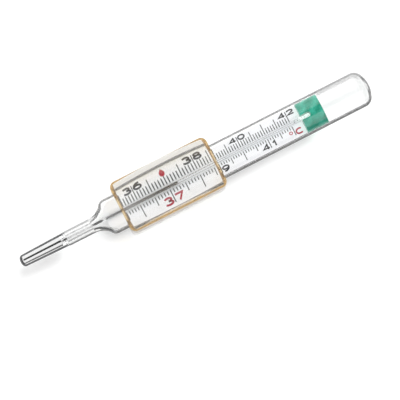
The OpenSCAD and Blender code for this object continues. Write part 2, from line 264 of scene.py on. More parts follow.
@dataclass(frozen=True)
class Finish(ABC):
    """A finish that any piece can wear."""

    name: str

    def material(self) -> bpy.types.Material:
        """Gives the material of this finish.

        Returns:
            The material, which is made once.
        """
        made = bpy.data.materials.get(self.name)
        if made is None:
            made = bpy.data.materials.new(self.name)
            self.dress(NodeGraph.cleared(made))
        return made

    @abstractmethod
    def dress(self, graph: NodeGraph) -> None:
        """Fills the empty graph of the material."""

    @staticmethod
    def let_light_through(graph: NodeGraph, shader: Node, shade: Colour) -> Node:
        """Lets lamps and soft light through a clear shader, to what is behind it.

        Args:
            graph: The graph of the material.
            shader: The clear shader.
            shade: Colour that is left of the light.

        Returns:
            The shader that does both.
        """
        through = graph.add("ShaderNodeBsdfTransparent", {"Color": shade}).outputs[0]
        path = graph.add("ShaderNodeLightPath").outputs
        for ray in ("Is Shadow Ray", "Is Diffuse Ray"):
            feeds = {0: path[ray], 1: shader.outputs[0], 2: through}
            shader = graph.add("ShaderNodeMixShader", feeds)
        return shader

    @staticmethod
    def end(graph: NodeGraph, shader: Node, tint: Colour | None = None, density: float = 0.0) -> None:
        """Ends the graph of a material.

        Args:
            graph: The graph.
            shader: The shader of the surface.
            tint: Colour that light takes on along its way inside the piece, if it does.
            density: How soon it takes it on.
        """
        output = graph.add("ShaderNodeOutputMaterial", {"Surface": shader.outputs[0]})
        if tint is not None:
            inside = graph.add("ShaderNodeVolumeAbsorption", {"Color": tint, "Density": density})
            graph.feed(output.inputs["Volume"], inside.outputs[0])


@dataclass(frozen=True)
class DarkEdges:
    """Painted shade at the edges of glass: its colour darkens where it is seen edge-on, for the dark
    surroundings that rims show.

    Rims are shaded at the sides of a piece alone, so that it stays bright in slanting views. The near
    side is the one where Y is negative; it gets more painted shade, as if light fell from the far side.

    Attributes:
        tone: Colour of the glass where the painted shade is full.
        inner: Painted shade on faces seen from inside at a flat angle, where light is held inside the
            wall.
        inner_far: Share of that shade on the far side.
        rim: Painted shade at rims that are seen from outside.
        near_rim: Painted shade that is added to it on the near side, as if light fell from the far
            side.
        joined_end: Way along X, 1 or -1, of an end that joins another piece and has no dark rim,
            or 0 where there is none.
        tip_rim: Painted shade at the rim of a tip that points to -X.
        haze_from: Place along X from which the sides on the far side and the front get painted shade,
            if they do.
        haze_side: Painted shade at the sides there, on the far side.
        haze_front: Painted shade on the front there.
    """

    tone: Colour = (0.02, 0.022, 0.024)
    near_to_far: Range = (-1.0 * MM, 1.0 * MM)
    side_normal: Range = (0.30, 0.62)
    inner: float = 0.0
    inner_far: float = 1.0
    inner_facing: Range = (0.23, 0.28)
    rim: float = 0.0
    rim_facing: Range = (0.24, 0.38)
    near_rim: float = 0.0
    near_facing: Range = (0.46, 0.62)
    joined_end: float = 0.0
    tip_rim: float = 0.0
    tip_facing: Range = (0.07, 0.18)
    tip_normal: Range = (-0.15, -0.45)
    haze_from: float | None = None
    haze_fade: float = 1.0 * MM
    haze_side: float = 0.40
    haze_facing: Range = (0.16, 0.30)
    haze_front: float = 0.10
    haze_normal: Range = (0.05, 0.35)

    def loss(self, graph: NodeGraph, milk: Socket | None) -> Socket:
        """Works out how much painted shade darkens the glass.

        Args:
            graph: The graph of the material.
            milk: Milkiness of the glass, which its rims outside follow where it is given.

        Returns:
            The painted shade, from 0 where the glass keeps its clear colour.
        """
        facing = graph.facing()
        place, normal = graph.parts("Object"), graph.parts("Normal")
        beside = graph.spread(graph.math("ABSOLUTE", normal["Y"]), self.side_normal)
        rim = self.rim if milk is None else graph.math("MULTIPLY", milk, self.rim)
        # Painted shade: rims on the near side (-Y) get more, as if light fell from the far side.
        near = graph.spread(place["Y"], self.near_to_far, (self.near_rim, 0.0))
        outer = graph.math("MULTIPLY", graph.spread(facing, self.rim_facing), rim)
        outer = graph.math("MULTIPLY_ADD", graph.spread(facing, self.near_facing), near, outer)
        outer = graph.math("MULTIPLY", outer, beside)
        if self.joined_end:
            free = graph.spread(normal["X"], (0.0, self.joined_end), (1.0, 0.0))
            outer = graph.math("MULTIPLY", outer, free)
        if self.tip_rim:
            tip = graph.spread(normal["X"], self.tip_normal, (0.0, self.tip_rim))
            outer = graph.math("MULTIPLY_ADD", graph.spread(facing, self.tip_facing), tip, outer)
        # Painted shade on faces seen from inside at a flat angle, a little less on the far side.
        inner = graph.spread(facing, self.inner_facing, (0.0, self.inner))
        far = graph.spread(place["Y"], self.near_to_far, (1.0, self.inner_far))
        within = graph.add("ShaderNodeNewGeometry").outputs["Backfacing"]
        rim_shade = graph.math("MULTIPLY", within, graph.math("MULTIPLY", inner, far))
        rim_shade = graph.math("MULTIPLY_ADD", graph.math("SUBTRACT", 1.0, within), outer, rim_shade)
        # Painted shade on the end past the stopper: at the sides on the far side, and on faces turned
        # along X.
        if self.haze_from is not None:
            in_end_shade = graph.spread(place["X"], (self.haze_from, self.haze_from + self.haze_fade))
            side = graph.math("MULTIPLY", graph.spread(facing, self.haze_facing), beside)
            away = graph.spread(place["Y"], self.near_to_far, (0.0, self.haze_side))
            ahead = graph.math("ABSOLUTE", normal["X"])
            front = graph.spread(ahead, self.haze_normal, (0.0, self.haze_front))
            rim_shade = graph.math("MULTIPLY_ADD", in_end_shade, graph.math("MULTIPLY_ADD", side, away, front), rim_shade)
        return rim_shade


@dataclass(frozen=True)
class ClearFinish(Finish):
    """Drawn glass or clear acrylic: it bends light, takes some away along its way, and is rippled.

    Attributes:
        shade: Colour of its shadow.
        milk: Name of the attribute that says where the glass is milky, if it is anywhere.
        edges: Painted shade at its rims, if it has any.
    """

    density: float
    absorption: Colour = (0.655, 0.665, 0.66)
    ior: float = 1.5
    roughness: float = 0.01
    ripple: float = 0.6e-6
    ripple_grain: float = 2.5 * MM
    ripple_stretch: float = 8.0
    shade: Colour = (0.98, 0.985, 0.985)
    milk: str | None = None
    milk_grain: float = 0.7 * MM
    milk_span: Range = (0.6, 1.4)
    milk_roughness: float = 0.3
    edges: DarkEdges | None = None

    def dress(self, graph: NodeGraph) -> None:
        """Builds the clear shader.

        Args:
            graph: The empty graph of the material.
        """
        feeds = {
            "Base Color": WHITE,
            "Roughness": self.roughness,
            "IOR": self.ior,
            "Transmission Weight": 1.0,
        }
        milk = None if self.milk is None else graph.attribute(self.milk)
        rim_shade = 0.0
        # Painted shade: the glass colour darkens towards the edge tone at its rims.
        if self.edges is not None:
            rim_shade = self.edges.loss(graph, milk)
            feeds["Base Color"] = graph.ramp(rim_shade, ((0.0, WHITE), (1.0, self.edges.tone)))
        if milk is not None:
            wander = graph.between(graph.noise(self.milk_grain), *self.milk_span)
            cloud = graph.math("MULTIPLY", milk, wander)
            # Painted shade also takes clearness away, as milk does.
            dull = graph.math("MAXIMUM", cloud, rim_shade)
            feeds["Roughness"] = graph.math("MULTIPLY_ADD", cloud, self.milk_roughness, self.roughness)
            feeds["Transmission Weight"] = graph.math("SUBTRACT", 1.0, dull)
        if self.ripple:
            wave = graph.noise(self.ripple_grain, self.ripple_stretch)
            feeds["Normal"] = graph.bump(wave, self.ripple)
        shader = graph.add("ShaderNodeBsdfPrincipled", feeds)
        shader = self.let_light_through(graph, shader, self.shade)
        self.end(graph, shader, self.absorption, self.density)


@dataclass(frozen=True)
class LiquidMetalFinish(Finish):
    """Liquid metal: a mirror with a very faint skin.

    Attributes:
        thin: Name of the attribute that says where the metal is a thin thread that gets painted shade,
            which darkens it, if it is anywhere.
    """

    bright: float = 0.92
    dull: float = 0.84
    rough: float = 0.12
    smooth: float = 0.05
    skin_grain: float = 1.2 * MM
    skin_stretch: float = 4.0
    thin: str | None = None
    thin_loss: float = 0.85

    def dress(self, graph: NodeGraph) -> None:
        """Builds the mirror, whose gloss and tone wander a little.

        Args:
            graph: The empty graph of the material.
        """
        skin = graph.noise(self.skin_grain, self.skin_stretch)
        level = graph.between(skin, self.dull, self.bright)
        # Painted shade: where the metal thins to a thread, its tone is darkened.
        if self.thin is not None:
            left = graph.math("MULTIPLY_ADD", graph.attribute(self.thin), -self.thin_loss, 1.0)
            level = graph.math("MULTIPLY", level, left)
        gloss = graph.between(skin, self.rough, self.smooth)
        feeds = {"Base Color": level, "Roughness": gloss, "Metallic": 1.0}
        self.end(graph, graph.add("ShaderNodeBsdfPrincipled", feeds))


@dataclass(frozen=True)
class SolidFinish(Finish):
    """Plastic, opal glass, rubber or ink: two tones in a slow pattern, with gloss and a fine grain.

    Attributes:
        glow: Share of light that spreads under the surface, and glow_reach how far it does.
        clear: Share of light that goes through the piece.
        shade: Colour of its shadow, if lamps shine through it.
        edge_tone: Painted shade, as the colour that the surface darkens to where it is seen edge-on, if
            it does.
        depth_tint: Colour that light takes on along its way inside, if it does.
    """

    tone: Colour
    second: Colour
    patch: float
    smooth: float
    rough: float
    patch_detail: float = 2.0
    grain: float = 0.3 * MM
    grain_depth: float = 1.0e-6
    shine: float = 0.5
    glow: float = 0.0
    glow_reach: float = 0.6 * MM
    clear: float = 0.0
    shade: Colour | None = None
    edge_tone: Colour | None = None
    edge_facing: Range = (0.70, 0.88)
    depth_tint: Colour | None = None
    density: float = 0.0

    def dress(self, graph: NodeGraph) -> None:
        """Builds the shader from a slow colour pattern and a fine grain.

        Args:
            graph: The empty graph of the material.
        """
        slow = graph.between(graph.noise(self.patch, detail=self.patch_detail), *UNIT)
        colour = graph.ramp(slow, ((0.0, self.tone), (1.0, self.second)))
        # Painted shade: where the surface is seen edge-on, its colour darkens to the edge colour.
        if self.edge_tone is not None:
            edge = graph.spread(graph.facing(), self.edge_facing)
            colour = graph.mix(edge, colour, self.edge_tone)
        fine = graph.noise(self.grain)
        feeds = {
            "Base Color": colour,
            "Roughness": graph.between(fine, self.smooth, self.rough),
            "Normal": graph.bump(fine, self.grain_depth),
            "Specular IOR Level": self.shine,
            "Subsurface Weight": self.glow,
            "Subsurface Radius": (1.0, 1.0, 1.0),
            "Subsurface Scale": self.glow_reach,
            "Transmission Weight": self.clear,
        }
        shader = graph.add("ShaderNodeBsdfPrincipled", feeds)
        if self.shade is not None:
            shader = self.let_light_through(graph, shader, self.shade)
        self.end(graph, shader, self.depth_tint, self.density)


@dataclass(frozen=True)
class FloorFinish(Finish):
    """Matte floor that looks white straight, in a mirror and through glass, and keeps a shadow."""

    colour: Colour = (0.90, 0.90, 0.90)
    lift: float = 0.15

    def dress(self, graph: NodeGraph) -> None:
        """Builds the matte shader, and lifts it on rays that show the background.

        Args:
            graph: The empty graph of the material.
        """
        path = graph.add("ShaderNodeLightPath").outputs
        shown = graph.math("MAXIMUM", path["Is Camera Ray"], path["Is Glossy Ray"])
        shown = graph.math("MAXIMUM", shown, path["Is Transmission Ray"])
        strength = graph.math("MULTIPLY", shown, self.lift)
        matte = graph.add("ShaderNodeBsdfDiffuse", {"Color": self.colour})
        lift = graph.add("ShaderNodeEmission", {"Strength": strength})
        feeds = {0: matte.outputs[0], 1: lift.outputs[0]}
        self.end(graph, graph.add("ShaderNodeAddShader", feeds))


# Painted shade: the sheath, bulb and bead glass darken at rims seen edge-on, more on the near side; the
# bulb also at its tip, and the sheath past the stopper.
SHEATH_GLASS = ClearFinish(
    "sheath_glass_finish",
    density=60.0,
    milk="milk",
    edges=DarkEdges(
        tone=(0.010, 0.011, 0.012),
        inner=1.0,
        inner_far=0.92,
        rim=1.9,
        near_rim=1.6,
        joined_end=-1.0,
        haze_from=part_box("stopper")[1].x,
    ),
)
BULB_GLASS = ClearFinish(
    "bulb_glass_finish",
    density=20.0,
    edges=DarkEdges(
        tone=(0.002, 0.0022, 0.0025),
        rim=2.0,
        near_rim=1.6,
        near_facing=(0.28, 0.50),
        joined_end=1.0,
        tip_rim=2.0,
    ),
)
BEAD_GLASS = ClearFinish("bead_glass_finish", density=30.0, edges=DarkEdges(inner=0.3, rim=0.9))
CAPILLARY_GLASS = ClearFinish(
    "capillary_glass_finish", absorption=(0.64, 0.665, 0.68), density=180.0, milk="milk"
)
LENS_ACRYLIC = ClearFinish("lens_acrylic_finish", ior=1.53, density=2.0, ripple=0.0, shade=WHITE)
# Painted shade: the silver liquid darkens where it thins to the stalk, and the thread and head wear a
# darkened copy of it.
SILVER_LIQUID = LiquidMetalFinish("silver_liquid_finish", thin="thin")
SHADED_THREAD_LIQUID = LiquidMetalFinish("shaded_thread_liquid_finish", bright=0.42, dull=0.32)
OPAL_PLATE = SolidFinish(
    "opal_plate_finish",
    tone=(0.885, 0.88, 0.90),
    second=(0.85, 0.85, 0.875),
    patch=3.0 * MM,
    smooth=0.25,
    rough=0.35,
    glow=0.15,
)
BLACK_INK = SolidFinish(
    "black_ink_finish",
    tone=(0.010, 0.010, 0.012),
    second=(0.02, 0.02, 0.024),
    patch=0.2 * MM,
    smooth=0.7,
    rough=0.9,
    shine=0.1,
)
RED_INK = replace(
    BLACK_INK, name="red_ink_finish", tone=(0.42, 0.010, 0.04), second=(0.34, 0.008, 0.03)
)
GREEN_PLASTIC = SolidFinish(
    "green_plastic_finish",
    tone=(0.006, 0.23, 0.145),
    second=(0.055, 0.46, 0.33),
    patch=2.2 * MM,
    smooth=0.2,
    rough=0.35,
    glow=0.3,
    shade=(0.86, 0.95, 0.91),
)
AMBER_PLASTIC = SolidFinish(
    "amber_plastic_finish",
    tone=(0.92, 0.80, 0.62),
    second=(0.95, 0.84, 0.68),
    patch=4.0 * MM,
    smooth=0.08,
    rough=0.18,
    clear=0.9,
    shade=(0.995, 0.985, 0.965),
    # Painted shade: the frame turns near black where it is seen edge-on.
    edge_tone=(0.06, 0.04, 0.022),
    depth_tint=(0.80, 0.62, 0.15),
    density=240.0,
)
BASE_PLASTIC = SolidFinish(
    "base_plastic_finish",
    tone=(0.93, 0.925, 0.91),
    second=(0.90, 0.895, 0.885),
    patch=5.0 * MM,
    smooth=0.3,
    rough=0.45,
    clear=0.5,
    shade=(0.98, 0.98, 0.978),
)
PAD_RUBBER = SolidFinish(
    "pad_rubber_finish",
    tone=(0.70, 0.66, 0.60),
    second=(0.62, 0.58, 0.52),
    patch=1.0 * MM,
    smooth=0.6,
    rough=0.9,
    grain_depth=8.0e-6,
)
FLOOR = FloorFinish("floor_finish")


def mesh_object(name: str, mesh: bpy.types.Mesh, finish: Finish) -> Piece:
    """Makes a smooth object of a mesh.

    Args:
        name: Name of the object.
        mesh: The mesh, whose place is in its points.
        finish: Finish that it wears.

    Returns:
        The object, at the origin.
    """
    mesh.materials.clear()
    mesh.materials.append(finish.material())
    mesh.shade_smooth()
    mesh.set_sharp_from_angle(angle=SHARP_ANGLE)
    piece = bpy.data.objects.new(name, mesh)
    bpy.context.scene.collection.objects.link(piece)
    return piece


class Draft:
    """Faces of one piece, which are collected before they become an object."""

    def __init__(self, name: str, finish: Finish) -> None:
        """Starts a piece with its name and finish, and no faces."""
        self.name, self.finish = name, finish
        self.bm = bmesh.new()

    def loft(self, rings: Sequence[Ring], loop: bool = False) -> "Draft":
        """Skins a row of rings.

        Args:
            rings: Rings of points in order, where a ring of one point is a pole.
            loop: Whether the last ring joins the first. Otherwise the ends are capped.

        Returns:
            The same draft.
        """
        rows = [[self.bm.verts.new(p) for p in ring] for ring in rings]
        pairs = list(zip(rows, rows[1:]))
        if loop:
            pairs.append((rows[-1], rows[0]))
        for here, there in pairs:
            self._skin(here, there)
        if not loop:
            for row in (rows[0], rows[-1]):
                if len(row) > 1:
                    self.bm.faces.new(row)
        return self

    def _skin(self, here: list[bmesh.types.BMVert], there: list[bmesh.types.BMVert]) -> None:
        """Joins two rings by a band of faces.

        Args:
            here: Points of the first ring.
            there: Points of the second ring.
        """
        for i in range(max(len(here), len(there))):
            corners = (
                here[i % len(here)],
                here[(i + 1) % len(here)],
                there[(i + 1) % len(there)],
                there[i % len(there)],
            )
            self.bm.faces.new(list(dict.fromkeys(corners)))

    def done(self) -> Piece:
        """Makes the object.

        Returns:
            The piece, whose faces point outwards.
        """
        bmesh.ops.recalc_face_normals(self.bm, faces=self.bm.faces)
        mesh = bpy.data.meshes.new(self.name)
        self.bm.to_mesh(mesh)
        self.bm.free()
        return mesh_object(self.name, mesh, self.finish)


def settle(piece: Piece) -> Piece:
    """Turns what the modifiers of a piece make into its plain mesh.

    Args:
        piece: The piece, which loses its modifiers.

    Returns:
        The same piece.
    """
    graph = bpy.context.evaluated_depsgraph_get()
    mesh = bpy.data.meshes.new_from_object(piece.evaluated_get(graph))
    piece.modifiers.clear()
    piece.data = mesh
    return piece


def softened(node: str, name: str, finish: Finish, edge: float) -> Piece:
    """Copies a CAD node and rounds its sharp edges.

    Args:
        node: The CAD node.
        name: Name of the piece.
        finish: Finish that the piece wears.
        edge: Width of the rounding in metres.

    Returns:
        The piece, in the place of the node.
    """
    bm = bmesh.new()
    bm.from_mesh(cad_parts[node].data)
    bmesh.ops.remove_doubles(bm, verts=bm.verts, dist=WELD)
    bmesh.ops.dissolve_limit(bm, angle_limit=FLAT_ANGLE, verts=bm.verts, edges=bm.edges)
    mesh = bpy.data.meshes.new(name)
    bm.to_mesh(mesh)
    bm.free()
    piece = mesh_object(name, mesh, finish)
    rounding = piece.modifiers.new("rounding", "BEVEL")
    rounding.width = edge
    rounding.segments = ROUNDING_SEGMENTS
    rounding.limit_method = "ANGLE"
    rounding.angle_limit = SHARP_ANGLE
    rounding.harden_normals = True
    return settle(piece)


def stand_for(piece: Piece, node: str, body: Body) -> Piece:
    """Lets a piece ride in the place of a CAD node.

    Args:
        piece: The piece.
        node: The CAD node that it replaces.
        body: Body that it rides on.

    Returns:
        The same piece.
    """
    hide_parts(node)
    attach(piece, body.value)
    return piece


def steps(first: float, last: float, count: int) -> list[float]:
    """Gives evenly spaced values from first to last, both included."""
    return [first + (last - first) * i / count for i in range(count + 1)]


def smoothstep(first: float, last: float, value: float) -> float:
    """Runs smoothly from 0 at first to 1 at last."""
    t = min(1.0, max(0.0, (value - first) / (last - first)))
    return t * t * (3 - 2 * t)


def swell_half(d: float, foot: float, top: float, length: float, bend: float) -> float:
    """Gives the half size of a shoulder, a hollow arc that runs into a round one.

    Args:
        d: Distance from the foot of the shoulder.
        foot: Half size at its foot.
        top: Half size at its top.
        length: Length of the shoulder.
        bend: Radius of the round arc.

    Returns:
        The half size at that distance.
    """
    rise = top - foot
    both = (length * length + rise * rise) / (2 * rise)
    flare = both - bend
    if d < length * flare / both:
        return foot + flare - math.sqrt(flare * flare - d * d)
    return top - bend + math.sqrt(bend * bend - (length - d) ** 2)


def dome_depth(half: float, corner: float, crown: float) -> float:
    """Gives the depth of a domed end, from its apex to where its corner arc meets the side."""
    return crown - math.sqrt((crown - corner) ** 2 - (half - corner) ** 2)


def dome_half(d: float, half: float, corner: float, crown: float) -> float:
    """Gives the half size of a domed end.

    Args:
        d: Distance behind its apex.
        half: Half size behind the dome.
        corner: Radius of its corner arcs.
        crown: Radius of the arc between them.

    Returns:
        The half size at that distance.
    """
    depth = dome_depth(half, corner, crown)
    if d < crown - (crown - depth) * crown / (crown - corner):
        return math.sqrt(max(0.0, crown * crown - (crown - d) ** 2))
    return half - corner + math.sqrt(max(0.0, corner * corner - (depth - d) ** 2))


def dome_steps(depth: float, count: int) -> list[float]:
    """Gives distances behind an apex, from the depth to 0, that close up towards the apex."""
    return [depth * (1 - math.sin(QUARTER * i / count)) for i in range(count)] + [0.0]


def round_end(apex: float, radius: float, count: int) -> Profile:
    """Gives the profile of a half-round end, from its side to its pole."""
    turns = steps(0.0, QUARTER, count)[:-1]
    return [(apex - radius + radius * math.sin(a), radius * math.cos(a)) for a in turns] + [(apex, 0.0)]


def grade(piece: Piece, name: str, amount: float, full_at: float, none_at: float) -> None:
    """Writes an amount at each point of a piece that runs out along X.

    Args:
        piece: The piece.
        name: Name of the attribute.
        amount: Amount at its full end, from 0 to 1.
        full_at: Place along X up to which the amount is full.
        none_at: Place along X from which it is 0, on either side.
    """
    values = [amount * (1 - smoothstep(full_at, none_at, v.co.x)) for v in piece.data.vertices]
    spread = piece.data.attributes.new(name, "FLOAT", "POINT")
    spread.data.foreach_set("value", values)


@dataclass(frozen=True)
class StemLine:
    """Axis of the stem, along which stations are measured from the bulb tip."""

    tip_x: float
    axis_z: float

    @classmethod
    def from_frame(cls) -> "StemLine":
        """Reads the axis off the sheath and the bulb."""
        low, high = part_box("sheath")
        return cls(tip_x=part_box("bulb")[0].x, axis_z=(low.z + high.z) / 2)

    def at(self, station: float, aside: float = 0.0, above: float = 0.0) -> Vector:
        """Gives the point at a station, aside of the axis and above it."""
        return Vector((self.tip_x + station, aside, self.axis_z + above))

    def span(self, node: str) -> Range:
        """Gives the first and last station of a CAD node."""
        low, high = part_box(node)
        return low.x - self.tip_x, high.x - self.tip_x

    def oval(self, station: float, half_w: float, half_t: float, sides: int) -> Ring:
        """Gives an oval ring of points about the axis.

        Args:
            station: Station of the ring.
            half_w: Half of its width.
            half_t: Half of its thickness.
            sides: Number of its points.

        Returns:
            The points, or one point where the ring has no width.
        """
        if half_w <= 0.0:
            return [self.at(station)]
        turns = (math.tau * i / sides for i in range(sides))
        return [self.at(station, half_w * math.cos(t), half_t * math.sin(t)) for t in turns]

    def lathe(self, profile: Profile, sides: int) -> list[Ring]:
        """Turns a profile of stations and radii about the axis, as a row of rings."""
        return [self.oval(s, r, r, sides) for s, r in profile]


class Assembly(ABC):
    """Pieces that are built together."""

    @abstractmethod
    def build(self) -> list[Piece]:
        """Builds and dresses the pieces."""


@dataclass
class Sheath(Assembly):
    """Outer envelope of clear glass: round neck, swelling shoulder, hollow oval stem and domed end.

    The glass is milky up to the foot of the shoulder, and clears within milk_fade of it.
    """

    line: StemLine
    wall: float = 0.8 * MM
    neck_r: float = 2.55 * MM
    neck_len: float = 9.2 * MM
    bore_r: float = 0.825 * MM
    foot_step: float = 0.3 * MM
    shoulder_len: float = 6.9 * MM
    bend_r: float = 2.5 * MM
    corner_r: float = 3.4 * MM
    crown_r: float = 9.0 * MM
    milk: float = 0.35
    milk_fade: Range = (-1.0 * MM, 1.5 * MM)
    sides: int = 96
    neck_steps: int = 12
    shoulder_steps: int = 28
    crown_steps: int = 28

    def __post_init__(self) -> None:
        """Works out the stations and half sizes from the frame."""
        low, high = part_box("sheath")
        self.half_w = (high.y - low.y) / 2
        self.half_t = (high.z - low.z) / 2
        self.neck_start, self.apex = self.line.span("sheath")
        self.shoulder_start = self.neck_start + self.neck_len

    def skin(self, foot: float, inset: float) -> list[Ring]:
        """Gives the rings of shoulder, stem and dome.

        Args:
            foot: Radius at the foot of the shoulder.
            inset: Distance of the skin inside the outer one.

        Returns:
            Rings from the shoulder's foot to the pole of the dome.
        """
        half_w, half_t = self.half_w - inset, self.half_t - inset
        bend, corner, crown = self.bend_r - inset, self.corner_r - inset, self.crown_r - inset
        apex = self.apex - inset
        rings = []
        for d in steps(0.0, self.shoulder_len, self.shoulder_steps):
            width, height = (swell_half(d, foot, h, self.shoulder_len, bend) for h in (half_w, half_t))
            rings.append(self.line.oval(self.shoulder_start + d, width, height, self.sides))
        for d in dome_steps(dome_depth(half_w, corner, crown), self.crown_steps):
            width = dome_half(d, half_w, corner, crown)
            rings.append(self.line.oval(apex - d, width, width * half_t / half_w, self.sides))
        return rings

    def build(self) -> list[Piece]:
        """Builds the closed glass shell.

        Returns:
            The shell.
        """
        stations = steps(self.neck_start, self.shoulder_start, self.neck_steps)
        neck = self.line.lathe([(s, self.neck_r) for s in stations[:-1]], self.sides)
        bore = self.line.lathe([(s, self.bore_r) for s in stations], self.sides)
        outer = neck + self.skin(self.neck_r, 0.0)
        inner = bore + self.skin(self.bore_r + self.foot_step, self.wall)
        piece = Draft("sheath_shell", SHEATH_GLASS).loft(outer[::-1] + inner).done()
        milky_to, clear_from = (self.line.at(self.shoulder_start + d).x for d in self.milk_fade)
        grade(piece, "milk", self.milk, milky_to, clear_from)
        return [stand_for(piece, "sheath", Body.STEM)]


@dataclass
class Bulb(Assembly):
    """Tapered glass reservoir with its filling, and the bead that joins it to the neck."""

    line: StemLine
    wall: float = 0.35 * MM
    tip_r: float = 2.05 * MM
    top_r: float = 2.42 * MM
    corner_r: float = 1.3 * MM
    crown_r: float = 3.2 * MM
    throat_len: float = 1.2 * MM
    seat_r: float = 0.825 * MM
    stalk_r: float = 0.262 * MM
    cone_len: float = 0.7 * MM
    stalk_tip_r: float = 0.04 * MM
    bead_r: float = 0.65 * MM
    thin_fade: float = 1.0 * MM
    sides: int = 64
    nose_steps: int = 20
    side_steps: int = 10
    bead_steps: int = 16
    stalk_steps: int = 12

    def build(self) -> list[Piece]:
        """Builds the glass, the bead and the filling."""
        return [self.glass(), self.bead(), self.filling()]

    def outline(self, inset: float, top: float) -> Profile:
        """Gives the profile of the bulb's skin.

        Args:
            inset: Distance of the skin inside the outer one.
            top: Station at which it ends.

        Returns:
            Stations and radii from the pole of the tip to that station.
        """
        tip_r, corner, crown = self.tip_r - inset, self.corner_r - inset, self.crown_r - inset
        depth = dome_depth(tip_r, corner, crown)
        distances = dome_steps(depth, self.nose_steps)
        nose = [(inset + d, dome_half(d, tip_r, corner, crown)) for d in distances]
        nose[-1] = (inset, 0.0)
        first = inset + depth
        taper = (self.top_r - inset - tip_r) / (top - first)
        side = [(s, tip_r + taper * (s - first)) for s in steps(first, top, self.side_steps)]
        return nose[::-1] + side[1:]

    def glass(self) -> Piece:
        """Builds the reservoir, open at its throat.

        Returns:
            The piece.
        """
        length = self.line.span("bulb")[1]
        throat = length - self.throat_len
        seat = [(length, self.seat_r), (throat, self.seat_r)]
        profile = self.outline(0.0, length) + seat + self.outline(self.wall, throat)[::-1]
        rings = self.line.lathe(profile, self.sides)
        piece = Draft("bulb_shell", BULB_GLASS).loft(rings).done()
        return stand_for(piece, "bulb", Body.STEM)

    def bead(self) -> Piece:
        """Builds the bead as a closed ring that is fused a little way into the bulb and the neck.

        Returns:
            The piece.
        """
        first, last = self.line.span("bulb_collar")
        low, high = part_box("bulb_collar")
        radius, half = self.bead_r, (last - first) / 2
        core = (high.y - low.y) / 2 - radius
        reach = math.asin(half / radius)
        turns = steps(-reach, reach, self.bead_steps)
        arc = [(first + half + radius * math.sin(a), core + radius * math.cos(a)) for a in turns]
        foot, head = first - WETTING, last + WETTING
        side_r = arc[0][1] - WETTING
        profile = [(foot, self.seat_r), (foot, side_r), *arc, (head, side_r), (head, self.seat_r)]
        rings = self.line.lathe(profile, self.sides)
        piece = Draft("bulb_bead", BEAD_GLASS).loft(rings, loop=True).done()
        return stand_for(piece, "bulb_collar", Body.STEM)

    def filling(self) -> Piece:
        """Builds the silver liquid with the stalk that runs up to the constriction.

        Returns:
            The piece.
        """
        tip = self.line.span("bulb_liquid")[1]
        top = self.line.span("bulb")[1] - self.throat_len + WETTING
        body = self.outline(self.wall - WETTING, top)
        stalk = [(s, self.stalk_r) for s in steps(top, tip - self.cone_len, self.stalk_steps)]
        profile = body + stalk + [(tip, self.stalk_tip_r), (tip, 0.0)]
        rings = self.line.lathe(profile, self.sides)
        piece = Draft("bulb_filling", SILVER_LIQUID).loft(rings).done()
        # Painted shade on the stalk, where the liquid thins.
        grade(piece, "thin", 1.0, self.line.at(top + self.thin_fade).x, self.line.at(top).x)
        return stand_for(piece, "bulb_liquid", Body.STEM)


@dataclass
class MeasuringTube(Assembly):
    """Capillary with its constriction and chamber, and the column that rises in it.

    The glass is milky in the closed end, from milk_fade above the chamber.
    """

    line: StemLine
    bore_r: float = 0.25 * MM
    narrow_r: float = 0.08 * MM
    cone_len: float = 0.7 * MM
    chamber_r: float = 0.4 * MM
    chamber_len: float = 1.2 * MM
    chamber_lead: float = 5.65 * MM
    film: float = 0.02 * MM
    milk_fade: float = 1.0 * MM
    sides: int = 48
    end_steps: int = 12
    thread_steps: int = 90
    head_steps: int = 10

    def build(self) -> list[Piece]:
        """Builds the glass tube, the thread of liquid and its rounded head."""
        return [self.tube(), self.thread(), self.head()]

    def tube(self) -> Piece:
        """Builds the thick-walled tube around its shaped bore.

        Returns:
            The piece.
        """
        first, last = self.line.span("capillary")
        low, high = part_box("capillary")
        outer_r = (high.y - low.y) / 2
        constriction = self.line.span("bulb_liquid")[1] + self.film
        chamber = last - self.chamber_lead
        chamber_end = chamber + self.chamber_len
        milky_from = chamber_end + self.milk_fade
        side = [(milky_from, outer_r), (chamber_end, outer_r), (first, outer_r)]
        bore = [
            (first, self.bore_r),
            (constriction - self.cone_len, self.bore_r),
            (constriction, self.narrow_r),
            (constriction + self.cone_len, self.bore_r),
            (chamber - self.chamber_r + self.bore_r, self.bore_r),
            (chamber, self.chamber_r),
            (chamber_end - self.chamber_r / 2, self.chamber_r),
            (chamber_end, self.chamber_r / 2),
            (chamber_end, 0.0),
        ]
        profile = round_end(last, outer_r, self.end_steps)[::-1] + side + bore
        rings = self.line.lathe(profile, self.sides)
        piece = Draft("capillary_tube", CAPILLARY_GLASS).loft(rings).done()
        grade(piece, "milk", 1.0, self.line.at(milky_from).x, self.line.at(chamber_end).x)
        return stand_for(piece, "capillary", Body.STEM)

    def thread(self) -> Piece:
        """Builds the thread, which draws out between the constriction and the head.

        Returns:
            The piece.
        """
        first, last = self.line.span("column_thread")
        profile = [(s, self.bore_r + WETTING) for s in steps(first, last, self.thread_steps)]
        rings = self.line.lathe(profile, self.sides)
        piece = Draft("column_thread_silver", SHADED_THREAD_LIQUID).loft(rings).done()
        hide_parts("column_thread")
        self.line.at(first)
        self.line.at(last)
        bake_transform(piece)
        return piece

    def head(self) -> Piece:
        """Builds the rounded head, whose top stands at the reading.

        Returns:
            The piece.
        """
        first, last = self.line.span("column_head")
        radius = self.bore_r + WETTING
        profile = [(first, radius), *round_end(last, radius, self.head_steps)]
        rings = self.line.lathe(profile, self.sides)
        piece = Draft("column_head_silver", SHADED_THREAD_LIQUID).loft(rings).done()
        return stand_for(piece, "column_head", Body.COLUMN)


